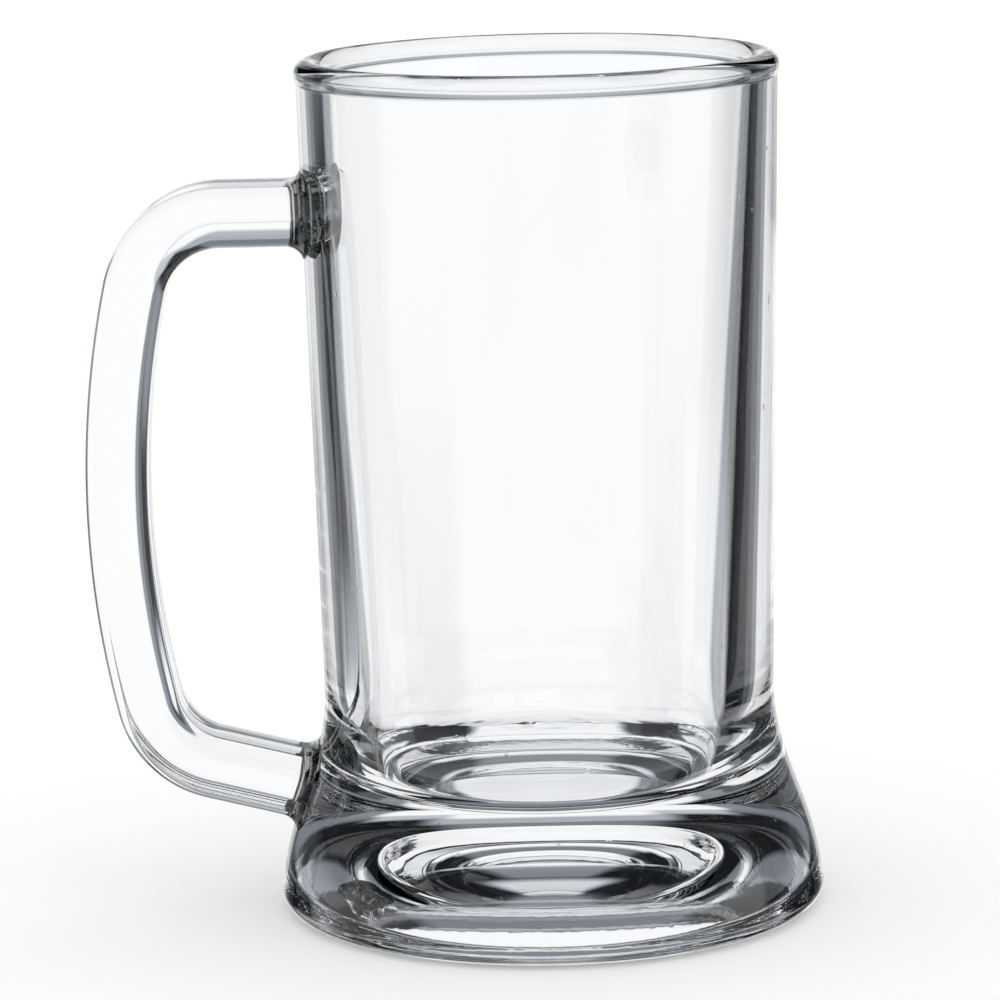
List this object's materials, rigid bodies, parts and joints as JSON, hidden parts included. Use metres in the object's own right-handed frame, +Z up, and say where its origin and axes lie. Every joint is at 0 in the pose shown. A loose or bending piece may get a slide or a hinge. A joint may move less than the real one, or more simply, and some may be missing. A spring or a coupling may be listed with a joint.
{
  "type": "glass tankard",
  "caption": "Heavy clear glass tankard with a straight drafted barrel, round beaded rim, flared solid foot and a solid bar handle welded on at both ends.",
  "frame": {"origin": "middle of the rectangle that the tankard covers on the table, at table height", "axes": "+Z up along the barrel, -X towards the handle, Y across the handle's plane"},
  "size_m": [0.128, 0.0962, 0.15],
  "materials": {
    "clear_glass": "fire-polished clear soda-lime glass with a faint grey-green cast"
  },
  "bodies": {
    "root": {"glass_body": "clear_glass", "glass_handle": "clear_glass"}
  },
  "joints": []
}
